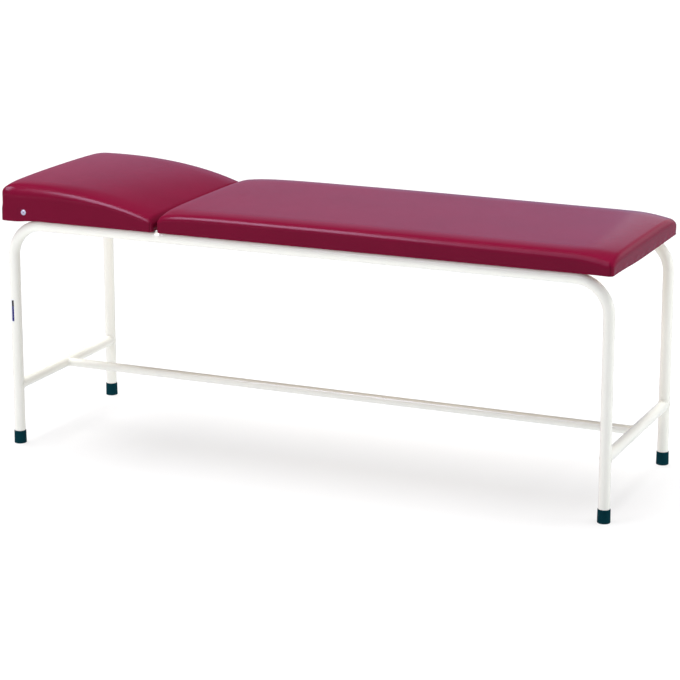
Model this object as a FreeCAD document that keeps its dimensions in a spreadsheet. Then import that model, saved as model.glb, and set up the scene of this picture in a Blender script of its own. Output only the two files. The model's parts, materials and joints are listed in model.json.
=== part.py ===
import FreeCAD, Part
import os
import re

import Sketcher
from FreeCAD import Placement, Rotation, Vector

# An examination couch: a bent steel tube frame on rubber ferrules, a long upholstered section screwed down
# to it, and a shorter upholstered head section that tilts on two pin hinges and is held up by a wire stay
# standing on two notched racks. Millimetres. Origin on the floor under the middle of the couch, +X toward
# the foot end, +Z up.

SIZES = (
    ("leg_x", "902", "half the spacing of the legs along the couch"),
    ("leg_y", "279", "half the spacing of the legs across the couch"),
    ("tube_r", "15.9", "outer radius of the frame tube"),
    ("tube_wall", "1.6", "wall of the frame tube"),
    ("bend_r", "95", "centreline radius of the frame tube bends"),
    ("top_z", "663.7", "centreline height of the top tubes"),
    ("stretcher_z", "178", "centreline height of the stretchers"),
    ("centre_r", "12.7", "outer radius of the centre stretcher"),
    ("centre_wall", "1.5", "wall of the centre stretcher"),
    ("sole", "5", "rubber under the end of each leg"),
    ("ferrule_z", "38.5", "height of a ferrule"),
    ("ferrule_top_r", "17.7", "radius of a ferrule at its mouth"),
    ("ferrule_foot_r", "18.2", "radius of a ferrule at the floor"),
    ("ferrule_edge", "1.6", "rounding of the ferrule edges"),
    ("rail", "25", "side of the square cross rails"),
    ("rail_wall", "1.5", "wall of the cross rails"),
    ("rail_half", "268", "half the length of a cross rail"),
    ("rail_head_x", "-792.5", "head cross rail"),
    ("rail_hinge_x", "-380", "cross rail beside the hinge"),
    ("rail_pitch", "579", "spacing of the three rails under the main pad"),
    ("deck_z", "681.2", "top of the cross rails, underside of the boards"),
    ("board", "15", "thickness of the plywood boards"),
    ("skin", "1.2", "thickness of the vinyl covers"),
    ("hem", "29", "width of the cover turned in under a board"),
    ("pad_y", "300", "half the width of the pads"),
    ("main_head_x", "-422", "hinge end of the main pad"),
    ("main_foot_x", "911", "foot end of the main pad"),
    ("main_top", "56", "height of the main pad"),
    ("main_side_r", "25", "rounding of its long top edges"),
    ("main_head_r", "19", "rounding of its hinge end"),
    ("main_foot_r", "24", "rounding of its foot end"),
    ("head_end_x", "-922", "head end of the head pad"),
    ("head_hinge_x", "-438", "hinge end of the head pad"),
    ("head_top", "101", "height of the head pad at the head end"),
    ("crown_x", "-862", "where the head pad top starts to fall"),
    ("crown_r", "1480", "radius of the falling top of the head pad"),
    ("head_side_r", "20", "rounding of its long top edges"),
    ("head_end_r", "18", "rounding of its head end"),
    ("head_hinge_r", "10", "rounding of its hinge end"),
    ("hinge_x", "-430", "hinge axis along the couch"),
    ("hinge_z", "698", "hinge axis above the floor"),
    ("hinge_y", "200", "hinges either side of the middle"),
    ("eye_r", "7", "radius of the hinge eyes"),
    ("pin_r", "3", "radius of the hinge pins"),
    ("pin_fit", "0.05", "running clearance round a pin"),
    ("lug", "6", "thickness of a hinge lug"),
    ("ear", "4", "thickness of a bracket ear"),
    ("ear_gap", "0.3", "gap between a lug and an ear"),
    ("flange", "4", "thickness of a hinge bracket flange"),
    ("flange_near", "-40", "near edge of that flange from the hinge axis"),
    ("flange_far", "-84", "far edge of that flange from the hinge axis"),
    ("flange_y", "24", "half the width of that flange"),
    ("stay_back", "160", "stay pivot behind the hinge axis"),
    ("stay_drop", "33", "stay pivot below the hinge axis"),
    ("stay_r", "5", "radius of the stay rod"),
    ("stay_y", "85", "half the spacing of the stay arms"),
    ("stay_bend", "10", "centreline radius of the stay bends"),
    ("stay_end_y", "111", "ends of the stay rod from the middle"),
    ("tab_y", "98", "inner face of a stay lug tab"),
    ("tab", "5", "thickness of a stay lug tab"),
    ("tab_r", "10", "radius of a stay lug eye"),
    ("foot_plate", "3", "thickness of a stay lug flange"),
    ("foot_plate_y", "32", "width of a stay lug flange"),
    ("foot_plate_x", "17", "half the length of a stay lug flange"),
    ("clip_r", "8.5", "radius of the stay clips"),
    ("clip", "1.2", "thickness of the stay clips"),
    ("rack_y", "58", "racks either side of the middle"),
    ("rack", "5", "thickness of a rack"),
    ("rack_gap", "0.4", "gap between the stay foot and the rack teeth"),
    ("notch", "7", "depth of a rack notch"),
    ("screw_r", "2.5", "shank radius of the screws"),
    ("screw_head_r", "4.8", "head radius of the screws"),
    ("screw_head", "2.8", "head height of the screws"),
    ("screw_bite", "11", "screw shank inside a board"),
    ("pilot_gap", "0.1", "clearance of the screw holes"),
    ("deck_screw_y", "180", "deck screws either side of the middle"),
    ("bracket_screw_x", "-62", "bracket screws from the hinge axis"),
    ("bracket_screw_y", "15", "bracket screws either side of a hinge"),
    ("lug_screw_x", "10", "stay lug screws either side of the pivot"),
    ("lug_screw_y", "119", "stay lug screws from the middle"),
    ("staple", "10", "crown of a staple"),
    ("staple_wire", "0.6", "thickness of a staple"),
    ("staple_inset", "26.5", "staples in from the edge of a pad"),
    ("vent_x", "-855", "air vents along the head pad"),
    ("vent_z", "703", "air vents above the floor"),
    ("vent_flange_r", "8", "radius of an air vent flange"),
    ("vent_r", "5", "radius of an air vent barrel"),
    ("vent_bore", "1.6", "radius of an air vent bore"),
    ("label_z", "370", "lower edge of the leg label"),
    ("label_height", "69", "height of the leg label"),
    ("label_skin", "0.3", "thickness of the leg label"),
    ("label_arc", "105", "degrees of tube the label wraps"),
    ("label_facing", "224", "degrees round the leg of the middle of the label"),
    ("reach", "=sqrt(stay_back^2 + stay_drop^2)", "length of a stay arm, pivot to foot"),
    ("path_cos", "=stay_back / reach", "run of the stay foot path"),
    ("path_sin", "=stay_drop / reach", "fall of the stay foot path"),
)
NOTCH_COSINES = (0.9659, 0.9063, 0.8192, 0.7071)
NAMES = {alias for alias, _, _ in SIZES}

doc = FreeCAD.newDocument("examination_couch")
nodes = []


def bound(text):
    return re.sub(r"[a-z][a-z_]+", lambda m: "sizes." + m[0] if m[0] in NAMES else m[0], text)


def value(text):
    result = doc.sizes.evalExpression(bound(text))
    return float(getattr(result, "Value", result))


def write_sheet():
    sheet = doc.addObject("Spreadsheet::Sheet", "sizes")
    for row, (alias, amount, meaning) in enumerate(SIZES, 1):
        sheet.set(f"A{row}", meaning)
        sheet.set(f"B{row}", amount)
        sheet.setAlias(f"B{row}", alias)
    doc.recompute()


def bind(item, prop, text):
    item.setExpression(prop, bound(text))


def place(item, x="0", y="0", z="0"):
    for axis, text in zip("xyz", (x, y, z)):
        bind(item, f"Placement.Base.{axis}", text)


def new_body(name, x="0", y="0", z="0", node=True):
    body = doc.addObject("PartDesign::Body", name)
    body.Label = name
    place(body, x, y, z)
    if node:
        nodes.append(body)
    return body


def origin(body, role):
    return next(item for item in body.Origin.OriginFeatures if item.Role == role)


def sketch(body, role, lift="0"):
    item = body.newObject("Sketcher::SketchObject", body.Name + "_sketch")
    item.AttachmentSupport = [(origin(body, role), "")]
    item.MapMode = "FlatFace"
    bind(item, "AttachmentOffset.Base.z", lift)
    return item


def locate(item, geo, point, across=None, up=None):
    for kind, text in (("DistanceX", across), ("DistanceY", up)):
        if text is not None:
            index = item.addConstraint(Sketcher.Constraint(kind, -1, 1, geo, point, value(text)))
            bind(item, f"Constraints[{index}]", text)


def set_radius(item, geo, text):
    index = item.addConstraint(Sketcher.Constraint("Radius", geo, value(text)))
    bind(item, f"Constraints[{index}]", text)


def circle(item, radius, across="0", up="0"):
    centre = Vector(value(across), value(up), 0)
    geo = item.addGeometry(Part.Circle(centre, Vector(0, 0, 1), value(radius)), False)
    set_radius(item, geo, radius)
    locate(item, geo, 3, across, up)


def line(item, start, end):
    points = [Vector(value(u), value(v), 0) for u, v in (start, end)]
    return item.addGeometry(Part.LineSegment(*points), False)


def join(item, first, second):
    item.addConstraint(Sketcher.Constraint("Coincident", *first, *second))


def polygon(item, points):
    lines = [line(item, a, b) for a, b in zip(points, points[1:] + points[:1])]
    for geo, after, (across, up) in zip(lines, lines[1:] + lines[:1], points):
        join(item, (geo, 2), (after, 1))
        locate(item, geo, 1, across, up)


def rectangle(item, left, right, low, high):
    polygon(item, [(left, low), (right, low), (right, high), (left, high)])


def eye_plate(item, points, radius):
    """Closes the outline from its last point round the origin to its first with a half circle."""
    lines = [line(item, a, b) for a, b in zip(points, points[1:])]
    for geo, after in zip(lines, lines[1:]):
        join(item, (geo, 2), (after, 1))
    for geo, (across, up) in zip(lines, points):
        locate(item, geo, 1, across, up)
    locate(item, lines[-1], 2, *points[-1])
    ring = Part.Circle(Vector(0, 0, 0), Vector(0, 0, 1), value(radius))
    arc = item.addGeometry(Part.ArcOfCircle(ring, 0, 3.14159265), False)
    join(item, (arc, 1), (lines[0], 1))
    join(item, (arc, 2), (lines[-1], 2))
    item.addConstraint(Sketcher.Constraint("PointOnObject", arc, 3, -1))


def shifted(point, toward, radius):
    """The end of a straight run that stops one bend radius short of a corner."""
    moved = []
    for here, there in zip(point, toward):
        step = value(there) - value(here)
        sign = 0 if abs(step) < 1e-9 else (1 if step > 0 else -1)
        moved.append(f"({here}) + {sign} * {radius}")
    return tuple(moved)


def bent_path(item, corners, radius):
    ends = []
    runs = []
    for index, (start, end) in enumerate(zip(corners, corners[1:])):
        near = start if index == 0 else shifted(start, end, radius)
        far = end if index == len(corners) - 2 else shifted(end, start, radius)
        geo = line(item, near, far)
        locate(item, geo, 1, *near)
        locate(item, geo, 2, *far)
        ends.append((near, far))
        runs.append(geo)
    for index, corner in enumerate(corners[1:-1]):
        start = Vector(*(value(text) for text in ends[index][1]), 0)
        end = Vector(*(value(text) for text in ends[index + 1][0]), 0)
        knee = Vector(*(value(text) for text in corner), 0)
        centre = start + end - knee
        middle = centre + (knee - centre).normalize() * value(radius)
        arc = item.addGeometry(Part.Arc(start, middle, end), False)
        touching = [1, 2]
        if (item.getPoint(arc, 1) - start).Length > 0.01:
            touching.reverse()
        join(item, (arc, touching[0]), (runs[index], 2))
        join(item, (arc, touching[1]), (runs[index + 1], 1))
        set_radius(item, arc, radius)


def pad(body, profile, length, symmetric=False, reverse=False):
    item = body.newObject("PartDesign::Pad", body.Name + "_pad")
    item.Profile = profile
    bind(item, "Length", length)
    item.SideType = "Symmetric" if symmetric else "One side"
    item.Reversed = reverse
    doc.recompute()
    return item


def pocket(body, profile, length=None, reverse=False):
    before = body.Shape.Volume
    item = body.newObject("PartDesign::Pocket", body.Name + "_pocket")
    item.Profile = profile
    item.Reversed = reverse
    if length is None:
        item.Type = "ThroughAll"
        item.SideType = "Symmetric"
    else:
        bind(item, "Length", length)
    doc.recompute()
    assert body.Shape.Volume < before - 0.1, f"{item.Name} cuts nothing"
    return item


def turn(body, profile, axis, degrees="360"):
    item = body.newObject("PartDesign::Revolution", body.Name + "_turn")
    item.Profile = profile
    item.ReferenceAxis = axis
    item.Midplane = True
    bind(item, "Angle", degrees)
    doc.recompute()
    return item


def pipe(body, profile, path):
    item = body.newObject("PartDesign::AdditivePipe", body.Name + "_pipe")
    item.Profile = profile
    item.Spine = (path, [])
    doc.recompute()
    return item


def mirror(body, features, role):
    item = body.newObject("PartDesign::Mirrored", body.Name + "_mirror")
    item.Originals = features
    item.MirrorPlane = (origin(body, role), [""])
    body.Tip = item
    doc.recompute()
    return item


def row_and_mirror(body, feature, axis, span, count, planes):
    """Repeats a feature in a row, then mirrors the row in each of the named planes."""
    both = body.newObject("PartDesign::MultiTransform", body.Name + "_repeats")
    both.Originals = [feature]
    steps = []
    if count > 1:
        row = body.newObject("PartDesign::LinearPattern", body.Name + "_row")
        row.Direction = (origin(body, axis), [""])
        bind(row, "Length", span)
        row.Occurrences = count
        steps.append(row)
    for role in planes:
        flip = body.newObject("PartDesign::Mirrored", body.Name + "_flip")
        flip.MirrorPlane = (origin(body, role), [""])
        steps.append(flip)
    both.Transformations = steps
    body.Tip = both
    doc.recompute()
    return both


def round_edges(body, radius, test):
    base = body.Tip
    names = [f"Edge{n}" for n, edge in enumerate(base.Shape.Edges, 1) if test(edge)]
    assert names, f"{body.Label} has no such edges"
    item = body.newObject("PartDesign::Fillet", body.Name + "_round")
    item.Base = (base, names)
    bind(item, "Radius", radius)
    doc.recompute()
    assert item.isValid(), f"{item.Name} fails"
    return item


def side_frame(name, side):
    body = new_body(name, y=f"{side} * leg_y")
    path = sketch(body, "XZ_Plane")
    corners = [("-leg_x", "sole"), ("-leg_x", "top_z"), ("leg_x", "top_z"), ("leg_x", "sole")]
    bent_path(path, corners, "bend_r")
    ring = sketch(body, "XY_Plane", "sole")
    circle(ring, "tube_r", "-leg_x")
    circle(ring, "tube_r - tube_wall", "-leg_x")
    pipe(body, ring, path)


def ferrule(name, end, side):
    body = new_body(name, f"{end} * leg_x", f"{side} * leg_y")
    cup = sketch(body, "XZ_Plane")
    polygon(cup, [
        ("0", "0"),
        ("ferrule_foot_r", "0"),
        ("ferrule_top_r", "ferrule_z"),
        ("tube_r", "ferrule_z"),
        ("tube_r", "sole"),
        ("0", "sole"),
    ])
    turn(body, cup, (origin(body, "Z_Axis"), [""]))
    round_edges(body, "ferrule_edge", lambda e: e.BoundBox.ZLength < 0.01
                and e.BoundBox.XLength > 2.05 * value("tube_r"))


def end_stretcher(name, end):
    body = new_body(name, f"{end} * leg_x", z="stretcher_z")
    ring = sketch(body, "XZ_Plane")
    circle(ring, "tube_r")
    circle(ring, "tube_r - tube_wall")
    pad(body, ring, "2 * leg_y", symmetric=True)
    legs = sketch(body, "XY_Plane")
    circle(legs, "tube_r", "0", "leg_y")
    circle(legs, "tube_r", "0", "-leg_y")
    pocket(body, legs)


def centre_stretcher():
    body = new_body("centre_stretcher", z="stretcher_z")
    ring = sketch(body, "YZ_Plane")
    circle(ring, "centre_r")
    circle(ring, "centre_r - centre_wall")
    pad(body, ring, "2 * leg_x", symmetric=True)
    ends = sketch(body, "XZ_Plane")
    circle(ends, "tube_r", "leg_x")
    circle(ends, "tube_r", "-leg_x")
    pocket(body, ends)


def cross_rail(name, x, screws):
    body = new_body(name, x, z="deck_z - rail / 2")
    ring = sketch(body, "XZ_Plane")
    rectangle(ring, "-rail / 2", "rail / 2", "-rail / 2", "rail / 2")
    inner = "rail / 2 - rail_wall"
    rectangle(ring, f"-({inner})", inner, f"-({inner})", inner)
    pad(body, ring, "2 * rail_half", symmetric=True)
    tubes = sketch(body, "YZ_Plane")
    for side in (1, -1):
        circle(tubes, "tube_r", f"{side} * leg_y", "top_z - deck_z + rail / 2")
    pocket(body, tubes)
    if screws:
        holes = sketch(body, "XY_Plane")
        for side in (1, -1):
            circle(holes, "screw_r + pilot_gap", "0", f"{side} * deck_screw_y")
        pocket(body, holes)


def board(name, head_x, foot_x, head_r, foot_r, screws):
    """A plywood board, drilled from below for its screws."""
    body = new_body(name, z="deck_z")
    outline = sketch(body, "XY_Plane")
    rectangle(outline, f"{head_x} + skin", f"{foot_x} - skin", "-pad_y + skin", "pad_y - skin")
    pad(body, outline, "board")
    for x, radius in ((head_x, head_r), (foot_x, foot_r)):
        near = value(x)
        round_edges(body, f"{radius} - skin",
                    lambda e: e.BoundBox.ZLength > 1 and e.BoundBox.XLength < 0.01
                    and abs(e.BoundBox.XMin - near) < 3)
    holes = sketch(body, "XY_Plane")
    for x, y in screws:
        circle(holes, "screw_r + pilot_gap", x, y)
    pocket(body, holes, "screw_bite + pilot_gap", reverse=True)


def round_block(body, side_r, head_r, foot_r):
    """Rounds the long top edges, then the whole rim of each end."""
    box = body.Tip.Shape.BoundBox
    low = box.ZMin

    def is_side(edge):
        rim = edge.BoundBox
        return rim.YLength < 0.01 and rim.XLength > 1 and rim.ZMax > low + 1

    def is_end(x):
        return lambda e: (e.BoundBox.XLength < 0.01 and abs(e.BoundBox.XMin - x) < 0.01
                          and e.BoundBox.ZMax > low + 0.01)

    round_edges(body, side_r, is_side)
    round_edges(body, head_r, is_end(box.XMin))
    round_edges(body, foot_r, is_end(box.XMax))


def main_block(name, inset, low, node):
    body = new_body(name, z="deck_z - skin", node=node)
    side = sketch(body, "XZ_Plane")
    rectangle(side, f"main_head_x + {inset}", f"main_foot_x - {inset}", low, f"main_top - {inset}")
    pad(body, side, f"2 * (pad_y - {inset})", symmetric=True)
    round_block(body, f"main_side_r - {inset}", f"main_head_r - {inset}", f"main_foot_r - {inset}")
    return body


def head_block(name, inset, low, node):
    body = new_body(name, z="deck_z - skin", node=node)
    side = sketch(body, "XZ_Plane")
    far = f"head_end_x + {inset}"
    near = f"head_hinge_x - {inset}"
    top = f"head_top - {inset}"
    radius = f"crown_r - {inset}"
    run = value(near) - value("crown_x")
    centre_z = value("head_top - crown_r")
    end_z = centre_z + (value(radius) ** 2 - run**2) ** 0.5
    ring = Part.Circle(Vector(value("crown_x"), centre_z, 0), Vector(0, 0, 1), value(radius))
    corner = Vector(value(near), end_z, 0)
    bottom = line(side, (far, low), (near, low))
    hinge_end = side.addGeometry(Part.LineSegment(Vector(value(near), value(low), 0), corner), False)
    fall = side.addGeometry(
        Part.Arc(corner, ring.value(1.45), Vector(value("crown_x"), value(top), 0)), False)
    crest = line(side, ("crown_x", top), (far, top))
    head_end = line(side, (far, top), (far, low))
    join(side, (bottom, 2), (hinge_end, 1))
    join(side, (hinge_end, 2), (fall, 1))
    join(side, (fall, 2), (crest, 1))
    join(side, (crest, 2), (head_end, 1))
    join(side, (head_end, 2), (bottom, 1))
    locate(side, bottom, 1, far, low)
    locate(side, bottom, 2, near, low)
    locate(side, fall, 3, "crown_x", "head_top - crown_r")
    set_radius(side, fall, radius)
    locate(side, hinge_end, 2, near)
    locate(side, crest, 1, "crown_x")
    locate(side, crest, 2, far, top)
    pad(body, side, f"2 * (pad_y - {inset})", symmetric=True)
    round_block(body, f"head_side_r - {inset}", f"head_end_r - {inset}", f"head_hinge_r - {inset}")
    return body


def vent_cut(body, depth):
    """Opens both long sides of a pad part for the air vents."""
    for lift, flip in ((f"pad_y - {depth}", False), (f"-pad_y + {depth}", True)):
        hole = sketch(body, "XZ_Plane", lift)
        circle(hole, "vent_r", "vent_x", "vent_z - deck_z + skin")
        pocket(body, hole, "20", reverse=not flip)


def cover(name, outer, foam, plank, head_x, foot_x):
    """The vinyl round a foam and its board, open underneath inside the hem."""
    opening = new_body(name + "_opening", z="deck_z - skin", node=False)
    area = sketch(opening, "XY_Plane", "-1")
    rectangle(area, f"{head_x} + hem", f"{foot_x} - hem", "-pad_y + hem", "pad_y - hem")
    pad(opening, area, "skin + 2")
    filling = doc.addObject("Part::MultiFuse", name + "_filling")
    filling.Shapes = [foam, plank, opening]
    item = doc.addObject("Part::Cut", name)
    item.Label = name
    item.Base = outer
    item.Tool = filling
    nodes.append(item)
    doc.recompute()
    return item


def main_pad():
    screws = [(f"rail_hinge_x + {n} * rail_pitch", f"{side} * deck_screw_y")
              for n in range(3) for side in (1, -1)]
    board("main_board", "main_head_x", "main_foot_x", "main_head_r", "main_foot_r", screws)
    main_block("main_foam", "skin", "skin + board", True)
    filler = main_block("main_filler", "skin", "skin", False)
    outer = main_block("main_outer", "0", "0", False)
    cover("main_cover", outer, filler, doc.main_board, "main_head_x", "main_foot_x")


def head_pad():
    screws = [(f"hinge_x + bracket_screw_x", f"{side} * hinge_y + {step} * bracket_screw_y")
              for side in (1, -1) for step in (1, -1)]
    screws += [(f"hinge_x - stay_back + {step} * lug_screw_x", f"{side} * lug_screw_y")
               for side in (1, -1) for step in (1, -1)]
    board("head_board", "head_end_x", "head_hinge_x", "head_end_r", "head_hinge_r", screws)
    foam = head_block("head_foam", "skin", "skin + board", True)
    vent_cut(foam, "6")
    filler = head_block("head_filler", "skin", "skin", False)
    outer = head_block("head_outer", "0", "0", False)
    vent_cut(outer, "6")
    cover("head_cover", outer, filler, doc.head_board, "head_end_x", "head_hinge_x")


def air_vent(name, side):
    body = new_body(name, "vent_x", f"{side} * pad_y", "vent_z")
    body.Placement.Rotation = Rotation(Vector(0, 0, 1), 0 if side > 0 else 180)
    place(body, "vent_x", f"{side} * pad_y", "vent_z")
    profile = sketch(body, "XY_Plane")
    polygon(profile, [
        ("0", "-3.4"),
        ("vent_bore", "-3.4"),
        ("vent_bore", "-5"),
        ("vent_r", "-5"),
        ("vent_r", "0"),
        ("vent_flange_r", "0"),
        ("vent_flange_r", "0.7"),
        ("vent_flange_r - 1.2", "1.3"),
        ("vent_bore", "1.3"),
        ("vent_bore", "-3"),
        ("0", "-3"),
    ])
    turn(body, profile, (origin(body, "Y_Axis"), [""]))


def hinge_lug(name, side):
    body = new_body(name, "hinge_x", f"{side} * hinge_y", "hinge_z")
    foot = "rail_hinge_x - rail / 2 - hinge_x"
    plate = sketch(body, "XZ_Plane")
    eye_plate(plate, [("eye_r", "0"), ("eye_r", "-20"), (foot, "-20"), (foot, "-41"), ("-eye_r", "-41"),
                      ("-eye_r", "0")], "eye_r")
    pad(body, plate, "lug", symmetric=True)
    hole = sketch(body, "XZ_Plane")
    circle(hole, "pin_r + 0.02")
    pocket(body, hole)


def hinge_bracket(name, side):
    body = new_body(name, "hinge_x", f"{side} * hinge_y", "hinge_z")
    under = "deck_z - hinge_z"
    plate = sketch(body, "XY_Plane", f"{under} - flange")
    rectangle(plate, "flange_far", "flange_near", "-flange_y", "flange_y")
    pad(body, plate, "flange")
    ear = sketch(body, "XZ_Plane", "lug / 2 + ear_gap")
    eye_plate(ear, [("eye_r", "0"), ("eye_r", "-26"), ("-6", "-34"), ("flange_far + 2", "-26"),
                    ("flange_far + 2", f"{under}"), ("flange_near", f"{under}"),
                    ("flange_near", f"{under} - skin - 0.6"), ("-eye_r", f"{under} - skin - 0.6"),
                    ("-eye_r", "0")], "eye_r")
    mirror(body, [pad(body, ear, "ear")], "XZ_Plane")
    hole = sketch(body, "XZ_Plane")
    circle(hole, "pin_r + pin_fit")
    pocket(body, hole)
    screws = sketch(body, "XY_Plane")
    for step in (1, -1):
        circle(screws, "screw_r + pilot_gap", "bracket_screw_x", f"{step} * bracket_screw_y")
    pocket(body, screws)


def hinge_pin(name, side):
    body = new_body(name, "hinge_x", f"{side} * hinge_y", "hinge_z")
    inner = "lug / 2 + 2 * ear_gap + ear"
    profile = sketch(body, "XY_Plane")
    polygon(profile, [
        ("0", f"-({inner} + 2.5)"),
        ("pin_r + 1.4", f"-({inner} + 2.5)"),
        ("pin_r + 2.2", f"-({inner} + 1.6)"),
        ("pin_r + 2.2", f"-({inner})"),
        ("pin_r", f"-({inner})"),
        ("pin_r", inner),
        ("pin_r + 2.2", inner),
        ("pin_r + 2.2", f"{inner} + 1.6"),
        ("pin_r + 1.4", f"{inner} + 2.5"),
        ("0", f"{inner} + 2.5"),
    ])
    turn(body, profile, (origin(body, "Y_Axis"), [""]))


def screw_group(name, x, y, seat_z, depth, axis, span, count):
    """Pan-head screws driven up from below, in a row repeated on the other side of the couch."""
    body = new_body(name, z=seat_z)
    profile = sketch(body, "XZ_Plane", f"-({y})")
    bind(profile, "AttachmentOffset.Base.x", x)
    polygon(profile, [
        ("0", "-screw_head"),
        ("screw_head_r - 1.4", "-screw_head"),
        ("screw_head_r", "-screw_head + 1.6"),
        ("screw_head_r", "0"),
        ("screw_r", "0"),
        ("screw_r", f"{depth} - 3"),
        ("0.4", depth),
        ("0", depth),
    ])
    screw = turn(body, profile, (profile, ["V_Axis"]))
    row_and_mirror(body, screw, axis, span, count, ["XZ_Plane"])


def screws():
    screw_group("main_pad_screws", "rail_hinge_x", "deck_screw_y", "deck_z - rail", "rail + screw_bite",
                "X_Axis", "2 * rail_pitch", 3)
    screw_group("hinge_bracket_screws", "hinge_x + bracket_screw_x", "hinge_y - bracket_screw_y",
                "deck_z - flange", "flange + screw_bite", "Y_Axis", "2 * bracket_screw_y", 2)
    screw_group("stay_lug_screws", "hinge_x - stay_back - lug_screw_x", "lug_screw_y",
                "deck_z - foot_plate", "foot_plate + screw_bite", "X_Axis", "2 * lug_screw_x", 2)


def staples(name, head_x, foot_x, long_count, cross_count):
    """Staple crowns along the hem of a cover, on all four sides."""
    middle = f"({head_x} + {foot_x}) / 2"
    half_x = f"({foot_x} - {head_x}) / 2 - staple_inset"
    half_y = "pad_y - staple_inset"
    body = new_body(name, middle, z="deck_z - skin - staple_wire")
    corner = 45
    for along, (reach, side, axis, count) in enumerate((
        (half_x, half_y, "X_Axis", long_count),
        (half_y, half_x, "Y_Axis", cross_count),
    )):
        crown = sketch(body, "XY_Plane")
        near = f"-({reach}) + {corner}"
        long_way = (near, f"{near} + staple")
        short_way = (f"{side} - 0.6", f"{side} + 0.6")
        rectangle(crown, *(long_way + short_way if along == 0 else short_way + long_way))
        crowns = pad(body, crown, "staple_wire")
        flip = "XZ_Plane" if along == 0 else "YZ_Plane"
        row_and_mirror(body, crowns, axis, f"2 * ({reach}) - {2 * corner} - staple", count, [flip])


def stay_lug(name, side):
    body = new_body(name, "hinge_x - stay_back", z="hinge_z - stay_drop")
    top = "deck_z - hinge_z + stay_drop"
    inner = "tab_y" if side > 0 else "-tab_y - foot_plate_y"
    plate = sketch(body, "XY_Plane", f"{top} - foot_plate")
    rectangle(plate, "-foot_plate_x", "foot_plate_x", inner, f"{inner} + foot_plate_y")
    pad(body, plate, "foot_plate")
    tab = sketch(body, "XZ_Plane", "-tab_y - tab" if side > 0 else "tab_y")
    eye_points = [("-tab_r", "0"), ("-foot_plate_x + 2", f"{top} - foot_plate"), ("-foot_plate_x + 2", top),
                  ("foot_plate_x - 2", top), ("foot_plate_x - 2", f"{top} - foot_plate"), ("tab_r", "0")]
    polygon(tab, eye_points)
    pad(body, tab, "tab")
    rim = sketch(body, "XZ_Plane", "-tab_y - tab" if side > 0 else "tab_y")
    circle(rim, "tab_r")
    pad(body, rim, "tab")
    hole = sketch(body, "XZ_Plane")
    circle(hole, "stay_r + pin_fit")
    pocket(body, hole)
    drilled = sketch(body, "XY_Plane")
    for step in (1, -1):
        circle(drilled, "screw_r + pilot_gap", f"{step} * lug_screw_x", f"{side} * lug_screw_y")
    pocket(body, drilled)


def support_stay():
    body = new_body("support_stay", "hinge_x - stay_back", z="hinge_z - stay_drop")
    bind(body, "Placement.Rotation.Angle", "-atan(stay_drop / stay_back)")
    body.Placement.Rotation = Rotation(Vector(0, 1, 0), -11.65)
    path = sketch(body, "XY_Plane")
    bent_path(path, [("0", "-stay_end_y"), ("0", "-stay_y"), ("-reach", "-stay_y"), ("-reach", "stay_y"),
                     ("0", "stay_y"), ("0", "stay_end_y")], "stay_bend")
    rod = sketch(body, "XZ_Plane", "stay_end_y")
    circle(rod, "stay_r")
    pipe(body, rod, path)


def stay_clip(name, side):
    outside = f"{side} * (tab_y + tab + 1 + clip / 2)"
    body = new_body(name, "hinge_x - stay_back", outside, "hinge_z - stay_drop")
    ring = sketch(body, "XZ_Plane")
    circle(ring, "clip_r")
    circle(ring, "stay_r")
    pad(body, ring, "clip", symmetric=True)


def rack(name, side):
    """A plate between two cross rails whose edge follows the stay foot, notched for it to drop into."""
    body = new_body(name, "hinge_x", f"{side} * rack_y", "hinge_z")
    near = "rail_hinge_x - rail / 2 - hinge_x"
    far = "rail_head_x + rail / 2 - hinge_x"
    lift = "(stay_r + rack_gap) / path_cos"
    shoulder = "-sqrt(2) * reach * path_cos + stay_r + 8"
    stop = "-2 * reach * path_cos - stay_r - 1"
    plate = sketch(body, "XZ_Plane")
    polygon(plate, [
        (near, "-21"),
        (shoulder, "-21"),
        (shoulder, f"({shoulder}) * path_sin / path_cos - {lift}"),
        (stop, f"({stop}) * path_sin / path_cos - {lift}"),
        (stop, "-21"),
        (far, "-21"),
        (far, "-55"),
        (f"({far}) + 14", "-86"),
        (f"({shoulder}) + 6", "-70"),
        ("-20", "-41"),
        (near, "-41"),
    ])
    pad(body, plate, "rack", symmetric=True)
    teeth = sketch(body, "XZ_Plane")
    bind(teeth, "AttachmentOffset.Rotation.Angle", "atan(stay_drop / stay_back)")
    for cosine in NOTCH_COSINES:
        foot = f"-2 * reach * {cosine}"
        deep = "-stay_r - rack_gap - notch"
        polygon(teeth, [(f"{foot} - 5.6", "0"), (f"{foot} - 4.4", deep), (f"{foot} + 2", deep),
                        (f"{foot} + 8", "-stay_r"), (f"{foot} + 8", "0")])
    pocket(body, teeth)


def leg_label():
    body = new_body("leg_label", "-leg_x", "-leg_y", "label_z")
    body.Placement.Rotation = Rotation(Vector(0, 0, 1), value("label_facing"))
    place(body, "-leg_x", "-leg_y", "label_z")
    strip = sketch(body, "XZ_Plane")
    rectangle(strip, "tube_r", "tube_r + label_skin", "0", "label_height")
    turn(body, strip, (origin(body, "Z_Axis"), [""]), "label_arc")


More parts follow.
